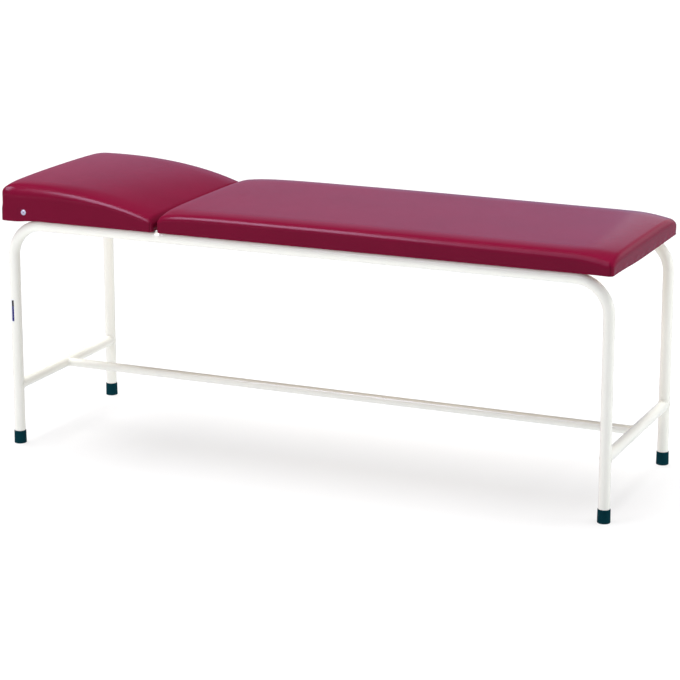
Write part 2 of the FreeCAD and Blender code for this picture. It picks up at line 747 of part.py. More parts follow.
def build():
    write_sheet()
    for word, side in (("front", -1), ("rear", 1)):
        side_frame(f"side_frame_{word}", side)
        ferrule(f"ferrule_head_{word}", -1, side)
        ferrule(f"ferrule_foot_{word}", 1, side)
        hinge_lug(f"hinge_lug_{word}", side)
        hinge_pin(f"hinge_pin_{word}", side)
        hinge_bracket(f"hinge_bracket_{word}", side)
        rack(f"rack_{word}", side)
        stay_lug(f"stay_lug_{word}", side)
        stay_clip(f"stay_clip_{word}", side)
        air_vent(f"air_vent_{word}", side)
    end_stretcher("end_stretcher_head", -1)
    end_stretcher("end_stretcher_foot", 1)
    centre_stretcher()
    cross_rail("cross_rail_head", "rail_head_x", False)
    cross_rail("cross_rail_hinge", "rail_hinge_x", True)
    cross_rail("cross_rail_middle", "rail_hinge_x + rail_pitch", True)
    cross_rail("cross_rail_foot", "rail_hinge_x + 2 * rail_pitch", True)
    main_pad()
    head_pad()
    screws()
    staples("main_cover_staples", "main_head_x", "main_foot_x", 17, 7)
    staples("head_cover_staples", "head_end_x", "head_hinge_x", 6, 7)
    support_stay()
    leg_label()


def export():
    doc.recompute()
    for item in doc.Objects:
        assert not {"Invalid", "Error"} & set(item.State), f"{item.Label}: {item.State}"
    os.makedirs("parts", exist_ok=True)
    for node in nodes:
        shape = node.Shape
        assert not shape.isNull() and shape.isValid() and shape.Solids, node.Label
        shape.exportStep(f"parts/{node.Label}.step")


build()
export()
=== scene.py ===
import json
import math

import bmesh
import bpy
import numpy as np
from mathutils import Euler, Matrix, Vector


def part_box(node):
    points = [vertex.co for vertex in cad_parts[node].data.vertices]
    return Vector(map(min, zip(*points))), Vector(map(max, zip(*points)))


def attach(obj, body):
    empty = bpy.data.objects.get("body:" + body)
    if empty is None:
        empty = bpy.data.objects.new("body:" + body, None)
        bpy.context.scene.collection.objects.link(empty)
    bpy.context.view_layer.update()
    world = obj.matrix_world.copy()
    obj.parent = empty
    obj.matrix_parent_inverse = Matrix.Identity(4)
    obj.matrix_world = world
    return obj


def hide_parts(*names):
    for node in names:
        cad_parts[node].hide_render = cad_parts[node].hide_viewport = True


# The looks of the examination couch: two vinyl pads over the CAD boards, enamel on the tubes, weld beads,
# rubber ferrules and plated fittings. Metres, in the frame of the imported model.

MM = 0.001

# Sockets of the Mix node, which has a set of its own for each kind of data.
VECTOR_A, VECTOR_B, VECTOR_RESULT = 4, 5, 1
COLOUR_A, COLOUR_B, COLOUR_RESULT = 6, 7, 2

PLY_PITCH = 0.003  # metres between two glue lines
SENSOR_WIDTH = 36.0  # millimetres
LENS = 126.94235294  # millimetres
LENS_SHIFT = -0.07352941  # of the picture's width
CAMERA_PLACE = (2.6931, -6.1389, 2.1212)
CAMERA_PITCH, CAMERA_YAW = 76.321, 23.607  # degrees from straight down, and round the upright

LILAC = (0.95, 0.95, 1.3)  # tint of the panels that only shine in the vinyl

PAD_CORNER = 12 * MM  # radius of the pads' upright corners
BOTTOM_TURN = 3.2 * MM  # radius of the fold under the pads
GRID_STEP = 0.014  # metres between the points of a pad's top
HELD_BAND = 9 * MM  # height over which the board holds the cover
CLOTH_STEPS = 20

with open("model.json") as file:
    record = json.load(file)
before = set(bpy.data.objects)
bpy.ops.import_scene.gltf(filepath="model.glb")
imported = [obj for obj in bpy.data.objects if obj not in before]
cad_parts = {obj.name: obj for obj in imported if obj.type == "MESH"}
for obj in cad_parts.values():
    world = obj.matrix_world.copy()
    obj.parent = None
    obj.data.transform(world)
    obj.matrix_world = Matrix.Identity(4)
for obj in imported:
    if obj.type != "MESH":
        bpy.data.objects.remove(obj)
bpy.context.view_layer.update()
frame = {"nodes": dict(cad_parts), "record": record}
nodes = frame["nodes"]
scene = bpy.context.scene


def smooth(a, b, x):
    """0 at a, 1 at b and a smooth step between them."""
    t = np.clip((np.asarray(x, float) - a) / (b - a), 0.0, 1.0)
    return t * t * (3 - 2 * t)


# ---------------------------------------------------------------- node helpers


class Nodes:
    """A node tree with short calls for making and linking nodes."""

    def __init__(self, tree):
        self.tree = tree
        tree.nodes.clear()

    def add(self, kind, **settings):
        node = self.tree.nodes.new(kind)
        for name, value in settings.items():
            setattr(node, name, value)
        return node

    def link(self, source, output, target, socket):
        self.tree.links.new(source.outputs[output], target.inputs[socket])

    def fill(self, node, **values):
        for name, value in values.items():
            node.inputs[name.replace("_", " ")].default_value = value
        return node

    def coords(self):
        return self.add("ShaderNodeTexCoord")

    def noise(self, coords, scale, detail=4.0, rough=0.5, stretch=None):
        tex = self.add("ShaderNodeTexNoise")
        self.fill(tex, Scale=scale, Detail=detail, Roughness=rough)
        if stretch is None:
            self.link(coords, "Object", tex, "Vector")
        else:
            mapping = self.add("ShaderNodeMapping")
            mapping.inputs["Scale"].default_value = stretch
            self.link(coords, "Object", mapping, "Vector")
            self.link(mapping, "Vector", tex, "Vector")
        return tex

    def ramp(self, source, output, stops):
        ramp = self.add("ShaderNodeValToRGB")
        elements = ramp.color_ramp.elements
        while len(elements) < len(stops):
            elements.new(0.5)
        for element, (position, value) in zip(elements, stops):
            element.position = position
            element.color = (*value, 1.0) if isinstance(value, tuple) else (value, value, value, 1.0)
        self.link(source, output, ramp, "Fac")
        return ramp

    def bump(self, source, output, strength, distance, below=None):
        node = self.add("ShaderNodeBump")
        self.fill(node, Strength=strength, Distance=distance)
        self.link(source, output, node, "Height")
        if below is not None:
            self.link(below, "Normal", node, "Normal")
        return node


def new_material(name, **sockets):
    material = bpy.data.materials.new(name)
    material.use_nodes = True
    tree = Nodes(material.node_tree)
    shader = tree.add("ShaderNodeBsdfPrincipled")
    tree.fill(shader, **sockets)
    out = tree.add("ShaderNodeOutputMaterial")
    tree.link(shader, "BSDF", out, "Surface")
    return material, tree, shader


def vinyl_material():
    """Upholstery vinyl: a fine leather grain under a satin finish, with painted shade darkening the hollows
    of the grain.
    """
    material, tree, shader = new_material("wine_vinyl", Specular_IOR_Level=0.11)
    where = tree.coords()
    cells = tree.add("ShaderNodeTexVoronoi", feature="DISTANCE_TO_EDGE")
    tree.fill(cells, Scale=850.0)
    warp = tree.noise(where, 240.0, 2.0)
    mixed = tree.add("ShaderNodeMix", data_type="VECTOR")
    mixed.inputs["Factor"].default_value = 0.0012
    tree.link(where, "Object", mixed, VECTOR_A)
    tree.link(warp, "Color", mixed, VECTOR_B)
    tree.link(mixed, VECTOR_RESULT, cells, "Vector")
    grain = tree.ramp(cells, "Distance", [(0.0, 0.0), (0.18, 1.0)])
    broad = tree.noise(where, 7.0, 4.0, 0.5)
    colour = tree.ramp(broad, "Fac", [(0.3, (0.170, 0.0042, 0.0265)), (0.7, (0.186, 0.0048, 0.0290))])
    # painted shade: the base colour is darkened by up to 22 % in the hollows of the grain, where the bump
    # below also sinks
    grain_shade = tree.add("ShaderNodeMix", data_type="RGBA", blend_type="MULTIPLY")
    grain_shade.inputs["Factor"].default_value = 0.22
    tree.link(colour, "Color", grain_shade, COLOUR_A)
    tree.link(grain, "Color", grain_shade, COLOUR_B)
    tree.link(grain_shade, COLOUR_RESULT, shader, "Base Color")
    mottle = tree.noise(where, 38.0, 4.0, 0.55)
    gloss = tree.ramp(mottle, "Fac", [(0.25, 0.17), (0.75, 0.22)])
    tree.link(gloss, "Color", shader, "Roughness")
    soft = tree.bump(mottle, "Fac", 0.05, 0.0008)
    fine = tree.bump(grain, "Color", 0.05, 0.0001, soft)
    tree.link(fine, "Normal", shader, "Normal")
    return material


def enamel_material():
    """Stoved cream enamel: faint orange peel, a slight unevenness of tone and gloss."""
    material, tree, shader = new_material("cream_enamel")
    where = tree.coords()
    peel = tree.noise(where, 500.0, 2.0)
    haze = tree.noise(where, 5.0, 3.0, 0.5)
    colour = tree.ramp(haze, "Fac", [(0.3, (0.880, 0.887, 0.815)), (0.7, (0.900, 0.905, 0.840))])
    tree.link(colour, "Color", shader, "Base Color")
    gloss = tree.ramp(haze, "Fac", [(0.3, 0.20), (0.7, 0.26)])
    tree.link(gloss, "Color", shader, "Roughness")
    tree.link(tree.bump(peel, "Fac", 0.04, 0.0002), "Normal", shader, "Normal")
    return material


def rubber_material():
    """Moulded teal rubber: matte, finely pitted, a little dusty."""
    material, tree, shader = new_material("teal_rubber", Specular_IOR_Level=0.03)
    where = tree.coords()
    dust = tree.noise(where, 45.0, 6.0, 0.65)
    pits = tree.noise(where, 1400.0, 3.0)
    colour = tree.ramp(dust, "Fac", [(0.3, (0.0008, 0.026, 0.036)), (0.75, (0.0016, 0.040, 0.052))])
    tree.link(colour, "Color", shader, "Base Color")
    gloss = tree.ramp(dust, "Fac", [(0.3, 0.42), (0.75, 0.60)])
    tree.link(gloss, "Color", shader, "Roughness")
    tree.link(tree.bump(pits, "Fac", 0.25, 0.0002), "Normal", shader, "Normal")
    return material


def plated_material(name, colour, rough, tint):
    """Zinc or nickel plate: brushed streaks, spangle and fingerprints in the gloss."""
    material, tree, shader = new_material(name, Metallic=1.0)
    where = tree.coords()
    spangle = tree.noise(where, 110.0, 5.0, 0.6)
    brushed = tree.noise(where, 320.0, 3.0, 0.5, (1.0, 1.0, 0.06))
    tone = tree.ramp(spangle, "Fac", [(0.3, colour), (0.7, tint)])
    tree.link(tone, "Color", shader, "Base Color")
    gloss = tree.ramp(brushed, "Fac", [(0.25, rough), (0.75, rough + 0.16)])
    tree.link(gloss, "Color", shader, "Roughness")
    tree.link(tree.bump(brushed, "Fac", 0.08, 0.0002), "Normal", shader, "Normal")
    return material


def plywood_material():
    """Birch plywood: long face grain, and dark glue lines between the plies on the edges."""
    material, tree, shader = new_material("birch_plywood", Roughness=0.62)
    where = tree.coords()
    grain = tree.noise(where, 26.0, 7.0, 0.62, (0.12, 1.6, 1.0))
    pores = tree.noise(where, 700.0, 3.0, 0.5, (0.05, 1.0, 1.0))
    face = tree.ramp(grain, "Fac", [(0.25, (0.40, 0.25, 0.125)), (0.5, (0.60, 0.42, 0.235)),
                                    (0.8, (0.70, 0.53, 0.33))])
    split = tree.add("ShaderNodeSeparateXYZ")
    tree.link(where, "Object", split, "Vector")
    plies = tree.add("ShaderNodeMath", operation="SINE")
    count = tree.add("ShaderNodeMath", operation="MULTIPLY")
    count.inputs[1].default_value = 2 * math.pi / PLY_PITCH
    tree.link(split, "Z", count, 0)
    tree.link(count, "Value", plies, 0)
    glue = tree.ramp(plies, "Value", [(0.82, 1.0), (0.97, 0.35)])
    shape = tree.add("ShaderNodeNewGeometry")
    facing = tree.add("ShaderNodeSeparateXYZ")
    tree.link(shape, "Normal", facing, "Vector")
    flat = tree.add("ShaderNodeMath", operation="ABSOLUTE")
    tree.link(facing, "Z", flat, 0)
    edge = tree.ramp(flat, "Value", [(0.3, 1.0), (0.6, 0.0)])
    mix = tree.add("ShaderNodeMix", data_type="RGBA", blend_type="MULTIPLY")
    tree.link(edge, "Color", mix, "Factor")
    tree.link(face, "Color", mix, COLOUR_A)
    tree.link(glue, "Color", mix, COLOUR_B)
    tree.link(mix, COLOUR_RESULT, shader, "Base Color")
    tree.link(tree.bump(pores, "Fac", 0.2, 0.0003), "Normal", shader, "Normal")
    return material


def label_material(low, high):
    """A plain printed label, no lettering: pale film with a blue bar down its front edge and a short dark
    block above the bar."""
    material, tree, shader = new_material("plain_label", Roughness=0.42, Specular_IOR_Level=0.2)
    where = tree.coords()
    split = tree.add("ShaderNodeSeparateXYZ")
    tree.link(where, "Object", split, "Vector")
    paper, ink, block = (0.80, 0.82, 0.84), (0.004, 0.006, 0.16), (0.012, 0.012, 0.02)
    spans = []
    for axis in ("Z", "X"):
        span = tree.add("ShaderNodeMapRange")
        span.inputs["From Min"].default_value = getattr(low, axis.lower())
        span.inputs["From Max"].default_value = getattr(high, axis.lower())
        tree.link(split, axis, span, "Value")
        spans.append(span)
    stripes = tree.ramp(spans[0], "Result", [(0.0, paper), (0.05, ink), (0.70, block), (0.96, paper)])
    edge = tree.ramp(spans[1], "Result", [(0.0, 0.0), (0.60, 1.0), (0.98, 0.0)])
    for ramp in (stripes, edge):
        ramp.color_ramp.interpolation = "CONSTANT"
    mix = tree.add("ShaderNodeMix", data_type="RGBA")
    tree.link(edge, "Color", mix, "Factor")
    mix.inputs[COLOUR_A].default_value = (*paper, 1.0)
    tree.link(stripes, "Color", mix, COLOUR_B)
    grit = tree.noise(where, 900.0, 2.0)
    wear = tree.ramp(grit, "Fac", [(0.2, 0.90), (0.6, 1.0)])
    worn = tree.add("ShaderNodeMix", data_type="RGBA", blend_type="MULTIPLY")
    worn.inputs["Factor"].default_value = 1.0
    tree.link(mix, COLOUR_RESULT, worn, COLOUR_A)
    tree.link(wear, "Color", worn, COLOUR_B)
    tree.link(worn, COLOUR_RESULT, shader, "Base Color")
    return material


def floor_material():
    """A white studio floor, faintly uneven."""
    material, tree, shader = new_material("studio_floor", Roughness=0.9, Specular_IOR_Level=0.1,
                                          Emission_Color=(1.0, 1.0, 1.0, 1.0), Emission_Strength=0.70)
    where = tree.coords()
    speckle = tree.noise(where, 3.0, 3.0)
    tone = tree.ramp(speckle, "Fac", [(0.3, 0.24), (0.7, 0.25)])
    tree.link(tone, "Color", shader, "Base Color")
    return material


# ---------------------------------------------------------------- stage, lights, camera


def make_world():
    """A dim studio with a pale wall round it, rosy on one side and bluish on the other."""
    world = bpy.data.worlds.new("studio")
    scene.world = world
    world.use_nodes = True
    tree = Nodes(world.node_tree)
    where = tree.coords()
    split = tree.add("ShaderNodeSeparateXYZ")
    tree.link(where, "Generated", split, "Vector")
    across = tree.add("ShaderNodeMapRange")
    across.inputs["From Min"].default_value = -1.0
    tree.link(split, "X", across, "Value")
    wall = tree.ramp(across, "Result", [(0.24, (0.44, 0.29, 0.42)), (0.37, (0.29, 0.46, 0.68)),
                                        (0.45, (0.39, 0.40, 0.48))])
    above = tree.ramp(split, "Z", [(0.34, 0.0), (0.39, 1.0)])
    mix = tree.add("ShaderNodeMix", data_type="RGBA")
    tree.link(above, "Color", mix, "Factor")
    tree.link(wall, "Color", mix, COLOUR_A)
    mix.inputs[COLOUR_B].default_value = (0.07, 0.07, 0.08, 1.0)
    back = tree.add("ShaderNodeBackground")
    tree.link(mix, COLOUR_RESULT, back, "Color")
    out = tree.add("ShaderNodeOutputWorld")
    tree.link(back, "Background", out, "Surface")


def area_light(name, place, target, size, power, glossy=True, diffuse=True, colour=(1.0, 1.0, 1.0)):
    """A soft panel at `place` turned to `target`, which the camera never sees."""
    data = bpy.data.lights.new(name, "AREA")
    data.shape = "RECTANGLE"
    data.size, data.size_y = size
    data.energy = power
    data.color = colour
    light = bpy.data.objects.new(name, data)
    light.location = place
    light.rotation_euler = (Vector(target) - Vector(place)).to_track_quat("-Z", "Y").to_euler()
    light.visible_camera = False
    light.visible_glossy = glossy
    light.visible_diffuse = diffuse
    scene.collection.objects.link(light)


def sun_light(name, tilt, spread, strength):
    """A very large soft light high over the couch; tilt leans it toward -X and toward the front, degrees."""
    data = bpy.data.lights.new(name, "SUN")
    data.angle = math.radians(spread)
    data.energy = strength
    light = bpy.data.objects.new(name, data)
    light.rotation_euler = (math.radians(-tilt[1]), math.radians(tilt[0]), 0.0)
    light.location = (0.0, 0.0, 4.0)
    light.visible_glossy = False
    scene.collection.objects.link(light)


def make_stage():
    make_world()
    mesh = bpy.data.meshes.new("floor")
    shape = bmesh.new()
    bmesh.ops.create_grid(shape, x_segments=8, y_segments=8, size=60.0)
    shape.to_mesh(mesh)
    shape.free()
    floor = bpy.data.objects.new("floor", mesh)
    scene.collection.objects.link(floor)
    mesh.materials.append(floor_material())
    floor.visible_glossy = False
    sun_light("overhead", (-12.0, 8.0), 46.0, 5.2)
    area_light("left_fill", (-2.6, -4.2, 1.7), (-0.8, 0.0, 0.5), (2.0, 1.5), 80.0, glossy=False)
    area_light("right_fill", (4.5, 1.0, 1.8), (0.5, 0.0, 0.5), (2.0, 2.0), 90.0, glossy=False)
    area_light("back_panel", (1.2, 5.5, 1.9), (0.6, 0.0, 0.7), (4.0, 1.2), 5.0)
    for name, x, y, z, size, power in (("softbox", -1.50, -1.70, 3.25, (1.45, 2.0), 112.0),
                                       ("front_softbox", -0.6, -2.3, 3.26, (2.8, 3.6), 85.0)):
        area_light(name, (x, y, z), (x, y, 0.0), size, power, diffuse=False, colour=LILAC)
    scene.view_settings.view_transform = "Standard"
    scene.view_settings.look = "None"


def make_camera():
    data = bpy.data.cameras.new("camera")
    data.sensor_width = SENSOR_WIDTH
    data.lens = LENS
    data.shift_y = LENS_SHIFT
    data.clip_end = 200.0
    camera = bpy.data.objects.new("camera", data)
    camera.location = CAMERA_PLACE
    camera.rotation_euler = Euler((math.radians(CAMERA_PITCH), 0.0, math.radians(CAMERA_YAW)), "XYZ")
    scene.collection.objects.link(camera)
    scene.camera = camera


# ---------------------------------------------------------------- upholstery

EDGE_STEPS = (0.0, 0.4, 1.2, 2.4, 4.0, 6.0, 8.5, 11.5, 15.0, 20.0, 27.0, 36.0, 47.0, 60.0)
SIDE_LEVELS = (0.0, 0.12, 0.28, 0.46, 0.64, 0.80, 0.92, 1.0)


def spaced(low, high, step):
    """Positions from low to high, close together near both ends."""
    edge = np.array(EDGE_STEPS) * MM
    inner = np.linspace(low + edge[-1], high - edge[-1], max(3, int((high - low - 2 * edge[-1]) / step)) + 1)
    return np.concatenate([low + edge[:-1], inner, high - edge[:-1][::-1]])


def round_corner(x, y, half_x, half_y, radius):
    """Moves points of a rectangle near its corners into a corner of that radius, and gives the distance
    from each point to the rounded outline."""
    dx = np.clip(np.abs(x) - (half_x - radius), 0, radius) / radius
    dy = np.clip(np.abs(y) - (half_y - radius), 0, radius) / radius
    px = dx * np.sqrt(1 - dy * dy / 2)
    py = dy * np.sqrt(1 - dx * dx / 2)
    new_x = np.sign(x) * (np.minimum(np.abs(x), half_x - radius) + px * radius)
    new_y = np.sign(y) * (np.minimum(np.abs(y), half_y - radius) + py * radius)
    flat = np.minimum(half_x - np.abs(new_x), half_y - np.abs(new_y))
    cornered = (dx > 0) & (dy > 0)
    away = np.where(cornered, radius - radius * np.hypot(px, py), flat)
    return new_x, new_y, np.maximum(away, 0)


class Pad:
    """One upholstered section: the vinyl over foam and board, with its edges in metres."""

    def __init__(self, name, box, corner, height, edge_r):
        self.name = name
        self.low, self.high = box
        self.corner = corner
        self.height = height
        self.edge_r = edge_r

    def top(self, x, y, away):
        """Height of the vinyl over the underside of the pad."""
        radius = self.edge_r(x, y)
        inside = np.clip(away, 0, radius)
        drop = radius - np.sqrt(np.maximum(radius**2 - (radius - inside) ** 2, 0))
        return self.height(x, y) - drop

    def mesh(self):
        """The whole cover: its top, and the rings of points down from the top's rim."""
        centre = (self.low + self.high) / 2
        half = (self.high - self.low) / 2
        xs = spaced(self.low.x, self.high.x, GRID_STEP)
        ys = spaced(self.low.y, self.high.y, GRID_STEP)
        gx, gy = np.meshgrid(xs, ys, indexing="ij")
        px, py, away = round_corner(gx - centre.x, gy - centre.y, half.x, half.y, self.corner)
        px += centre.x
        py += centre.y
        pz = self.low.z + self.top(px, py, away)
        n, m = gx.shape
        verts = np.stack([px, py, pz], -1).reshape(-1, 3)
        faces = [(i * m + j, (i + 1) * m + j, (i + 1) * m + j + 1, i * m + j + 1)
                 for i in range(n - 1) for j in range(m - 1)]
        rim = ([i * m for i in range(n)] + [(n - 1) * m + j for j in range(1, m)]
               + [i * m + m - 1 for i in range(n - 2, -1, -1)] + [j for j in range(m - 2, 0, -1)])
        rings = self.skirt(verts[rim], centre)
        stacked = [verts, *rings]
        offset = len(verts)
        above = rim
        for ring in rings:
            here = list(range(offset, offset + len(ring)))
            for k in range(len(rim)):
                after = (k + 1) % len(rim)
                faces.append((above[k], here[k], here[after], above[after]))
            above = here
            offset += len(ring)
        mesh = bpy.data.meshes.new(self.name)
        mesh.from_pydata(np.concatenate(stacked).tolist(), [], faces)
        mesh.validate()
        return mesh

    def skirt(self, rim, centre):
        """Rings from the top rim down the sides, round the bottom edge and in under the board."""
        outward = rim[:, :2] - np.array([centre.x, centre.y])
        half = (self.high - self.low) / 2
        nx = np.where(np.abs(outward[:, 0]) > half.x - self.corner, np.sign(outward[:, 0]), 0)
        ny = np.where(np.abs(outward[:, 1]) > half.y - self.corner, np.sign(outward[:, 1]), 0)
        cx = np.sign(outward[:, 0]) * (half.x - self.corner)
        cy = np.sign(outward[:, 1]) * (half.y - self.corner)
        in_corner = (nx != 0) & (ny != 0)
        nx = np.where(in_corner, (outward[:, 0] - cx) / self.corner, nx)
        ny = np.where(in_corner, (outward[:, 1] - cy) / self.corner, ny)
        length = np.hypot(nx, ny)
        nx, ny = nx / length, ny / length
        rings = []
        for level in SIDE_LEVELS[1:]:
            ring = rim.copy()
            ring[:, 2] = rim[:, 2] + (self.low.z + BOTTOM_TURN - rim[:, 2]) * level
            rings.append(ring)
        for angle in (22.5, 45.0, 67.5, 90.0):
            a = math.radians(angle)
            ring = rim.copy()
            ring[:, 0] -= nx * BOTTOM_TURN * (1 - math.cos(a))
            ring[:, 1] -= ny * BOTTOM_TURN * (1 - math.cos(a))
            ring[:, 2] = self.low.z + BOTTOM_TURN * (1 - math.sin(a))
            rings.append(ring)
        for step in (6.0, 12.0, 19.0, 26.0):
            ring = rim.copy()
            ring[:, 0] -= nx * step * MM
            ring[:, 1] -= ny * step * MM
            ring[:, 2] = self.low.z + 0.05 * MM
            rings.append(ring)
        lip = rings[-1].copy()
        lip[:, 2] = self.low.z + 1.9 * MM
        rings.append(lip)
        return rings


def pull_at(x, y, corner, depth, reach):
    """How far the vinyl is drawn down toward a corner."""
    return depth * np.exp(-np.hypot(x - corner[0], y - corner[1]) / reach)


def roll_off(distance, reach, depth):
    """How far the top has sloped down at that distance from an edge."""
    return depth * np.clip(1 - distance / reach, 0, 1) ** 2


def main_height(low, high):
    """The crown of the long section, in millimetres until it is returned."""
    def height(x, y):
        along = x - low.x
        left = high.x - x
        side = np.minimum(y - low.y, high.y - y)
        z = 63.0 - 3.5 * smooth(0.45, 1.25, along)
        z = z - roll_off(side, 0.08, 6.5) - roll_off(left, 0.12, 12.0) - roll_off(along, 0.045, 4.0)
        for cy in (low.y, high.y):
            z = z - pull_at(x, y, (low.x, cy), 11.0, 0.06) - pull_at(x, y, (high.x, cy), 8.0, 0.055)
        return z * MM
    return height


def main_edge(low, high):
    """A little tighter round the foot end than along the sides."""
    def radius(x, y):
        side = np.minimum(y - low.y, high.y - y)
        side_r = 17.0 + 4.0 * smooth(0.3, 1.2, x - low.x)
        return (13.0 + (side_r - 13.0) * smooth(-0.012, 0.022, high.x - x - side)) * MM
    return radius


def head_height(low, high):
    """The wedge of the head section, which falls toward the hinges."""
    middle = (low.y + high.y) / 2
    half = (high.y - low.y) / 2

    def height(x, y):
        fall = np.clip((x - (low.x + 0.065)) / (high.x - low.x - 0.065), 0, 1) ** 2.2
        across = np.abs(y - middle) / half
        side = np.minimum(y - low.y, high.y - y)
        crest = 107.0 - 5.0 * across**2.2
        z = crest + (39.5 - crest) * fall
        z = z - roll_off(side, 0.08, 5.5) * (1 - 0.5 * fall) - roll_off(x - low.x, 0.05, 3.0)
        for cy in (low.y, high.y):
            z = z - pull_at(x, y, (low.x, cy), 3.0, 0.05) - pull_at(x, y, (high.x, cy), 3.0, 0.05)
        return z * MM
    return height


def head_edge(low, high):
    """Generous along the sides, tighter round the head end."""
    def radius(x, y):
        along = x - low.x
        side = np.minimum(y - low.y, high.y - y)
        side_r = 34.0 - 17.0 * smooth(0.08, 0.40, along)
        return (15.0 + (side_r - 15.0) * smooth(-0.012, 0.022, along - side)) * MM
    return radius


def link_piece(name, mesh, material):
    piece = bpy.data.objects.new(name, mesh)
    scene.collection.objects.link(piece)
    mesh.materials.append(material)
    mesh.shade_smooth()
    return piece


def coordinates(mesh):
    flat = np.empty(len(mesh.vertices) * 3)
    mesh.vertices.foreach_get("co", flat)
    return flat.reshape(-1, 3)


def write_coordinates(mesh, points):
    mesh.vertices.foreach_set("co", points.reshape(-1))
    mesh.update()


def inflate(piece, low, hinge_x):
    """Blows the cover up over its foam: held along the board, free above it, and hardly at all beside the
    hinges, which pass close to that face."""
    mesh = piece.data
    before = coordinates(mesh)
    held = piece.vertex_groups.new(name="held")
    held.add([int(n) for n in np.flatnonzero(before[:, 2] < low.z + HELD_BAND)], 1.0, "REPLACE")
    cloth = piece.modifiers.new("cloth", "CLOTH")
    settings = cloth.settings
    settings.vertex_group_mass = "held"
    settings.quality = 5
    settings.mass = 0.3
    settings.tension_stiffness = 60.0
    settings.compression_stiffness = 60.0
    settings.shear_stiffness = 30.0
    settings.bending_stiffness = 8.0
    settings.use_pressure = True
    settings.uniform_pressure_force = 4.0
    settings.effector_weights.gravity = 0.0
    for step in range(1, CLOTH_STEPS + 1):
        scene.frame_set(step)
    sheet = piece.evaluated_get(bpy.context.evaluated_depsgraph_get()).data
    moved = coordinates(sheet) - before
    piece.modifiers.remove(cloth)
    piece.vertex_groups.remove(held)
    scene.frame_set(1)
    length = np.linalg.norm(moved, axis=1)
    reach = np.abs(before[:, 0] - hinge_x)
    cap = (0.5 + 5.0 * smooth(0.004, 0.06, reach)) * MM
    moved *= (cap / (cap + length))[:, None]
    write_coordinates(mesh, before + moved)


def refine(piece):
    """One subdivision, applied, and then a lid over the hole under the board."""
    modifier = piece.modifiers.new("subdivision", "SUBSURF")
    modifier.levels = 1
    sheet = piece.evaluated_get(bpy.context.evaluated_depsgraph_get())
    mesh = bpy.data.meshes.new_from_object(sheet)
    piece.modifiers.remove(modifier)
    shape = bmesh.new()
    shape.from_mesh(mesh)
    bmesh.ops.holes_fill(shape, edges=[e for e in shape.edges if e.is_boundary], sides=0)
    bmesh.ops.recalc_face_normals(shape, faces=shape.faces)
    shape.to_mesh(mesh)
    shape.free()
    piece.data = mesh
    mesh.shade_smooth()


def outline_normal(x, y, low, high, corner):
    """Outward direction of the pad's outline beside each point."""
    cx = (low.x + high.x) / 2
    cy = (low.y + high.y) / 2
    dx = np.maximum(np.abs(x - cx) - ((high.x - low.x) / 2 - corner), 0) * np.sign(x - cx)
    dy = np.maximum(np.abs(y - cy) - ((high.y - low.y) / 2 - corner), 0) * np.sign(y - cy)
    length = np.maximum(np.hypot(dx, dy), 1e-9)
    return dx / length, dy / length, length / corner


def tailor(piece, low, high, corner, sag):
    """The marks of the upholsterer: a folded pleat at each corner, puckers between the staples and a hem
    that sags a little where no tube carries it."""
    points = coordinates(piece.data)
    x, y, z = points.T.copy()
    nx, ny, near = outline_normal(x, y, low, high, corner)
    skirt = np.clip(near, 0, 1) ** 4
    up = z - low.z
    from_end = np.minimum(x - low.x, high.x - x)
    long_side = np.abs(ny) > np.abs(nx)
    top_fade = smooth(0.046, 0.028, up)
    crease = np.exp(-(((from_end - 5.0 * MM) / (1.5 * MM)) ** 2))
    flap = smooth(5.2 * MM, 3.0 * MM, from_end)
    pleat = np.where(long_side, 2.2 * flap - 0.9 * crease, 2.2) * top_fade * (from_end < 0.02)
    along = np.where(long_side, x, y)
    pucker = np.sin(along / 0.0115) * np.sin(along / 0.0313 + 1.3) * 0.5
    pucker = pucker * np.exp(-(((up - 9 * MM) / (6 * MM)) ** 2))
    hem = -0.7 * np.exp(-(((up - 7.5 * MM) / (1.2 * MM)) ** 2))
    out = skirt * (pleat + pucker + hem) * MM
    points[:, 0] += nx * out
    points[:, 1] += ny * out
    points[:, 2] -= sag(x, y) * skirt * smooth(0.034, 0.0, up)
    write_coordinates(piece.data, points)


def middle(name):
    """The middle and the half size of a CAD node's box."""
    low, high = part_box(name)
    return (low + high) / 2, (high - low) / 2


def press_vents(piece):
    """The cover lies flat and tight under the flange of each air vent and swells round it."""
    points = coordinates(piece.data)
    for row, side in (("front", -1), ("rear", 1)):
        centre, half = middle(f"air_vent_{row}")
        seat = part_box("head_cover")[side > 0].y
        reach = np.hypot(points[:, 0] - centre.x, points[:, 2] - centre.z)
        near = smooth(half.x + 0.016, half.x + 0.001, reach) * (points[:, 1] * side > 0.28)
        points[:, 1] += (seat - points[:, 1]) * near
    write_coordinates(piece.data, points)


def main_sag(x, y):
    """How far the hem hangs past the last tube at the foot end, more so on the rear side."""
    return 8.0 * MM * smooth(0.866, 0.905, x) * (0.15 + 0.85 * smooth(-0.28, -0.03, y))


def head_sag(x, y):
    """How far the hem hangs past the bend of the side tubes at the head end."""
    return 8.0 * MM * smooth(-0.800, -0.890, x)


def make_pad(vinyl, name, cover, foam, body, height, edge, sag, hinge_at_low, ease):
    """One pad in place of its CAD cover and foam. `ease` is how much wider than the cover it is cut, in
    millimetres toward -X, +X, -Y and +Y."""
    low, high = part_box(cover)
    low -= Vector((ease[0], ease[2], 0)) * MM
    high += Vector((ease[1], ease[3], 0)) * MM
    pad = Pad(name, (low, high), PAD_CORNER, height(low, high), edge(low, high))
    piece = link_piece(name, pad.mesh(), vinyl)
    inflate(piece, low, low.x if hinge_at_low else high.x)
    refine(piece)
    tailor(piece, low, high, PAD_CORNER, sag)
    if name == "head_pad":
        press_vents(piece)
    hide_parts(cover, foam)
    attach(piece, body)


